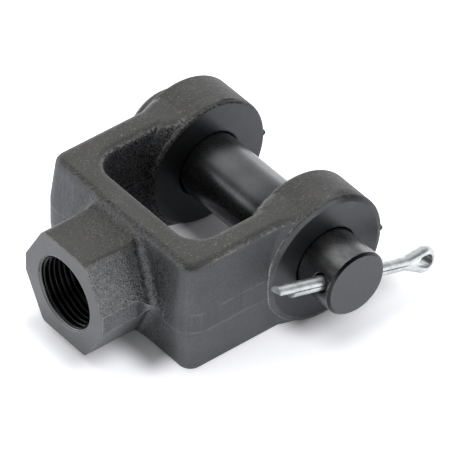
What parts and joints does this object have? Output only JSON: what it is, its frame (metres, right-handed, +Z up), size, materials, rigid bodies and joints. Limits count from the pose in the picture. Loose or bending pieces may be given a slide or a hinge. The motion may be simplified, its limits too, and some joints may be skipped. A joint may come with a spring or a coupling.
{
  "type": "clevis rod end",
  "caption": "Forged female clevis rod end: threaded hexagon boss, open jaw between round ears, headed clevis pin held by a split pin.",
  "frame": {"origin": "where the clevis pin's axis crosses the thread's axis", "axes": "+X along the thread's axis, out of the open jaw; Y along the clevis pin, +Y towards its head; +Z up, square to both"},
  "size_m": [0.1217, 0.1099, 0.051],
  "materials": {
    "forging": "rough forged steel with a dark phosphate and oil finish, machined faces smoother and lighter",
    "pin_steel": "turned steel, satin black oxide",
    "zinc_wire": "bright zinc plated wire"
  },
  "bodies": {
    "yoke": {"clevis_yoke": "forging"},
    "pin": {"clevis_pin": "pin_steel"},
    "cotter": {"cotter_pin": "zinc_wire"}
  },
  "joints": [
    {"name": "pin_spin", "type": "hinge", "parent": "yoke", "child": "pin", "pos_m": [0, 0, 0], "axis": [0, 1, 0], "continuous": true},
    {"name": "cotter_pull", "type": "slide", "parent": "pin", "child": "cotter", "axis": [0.9553, 0, -0.2957], "range_m": [-0.012, 0.05]}
  ]
}
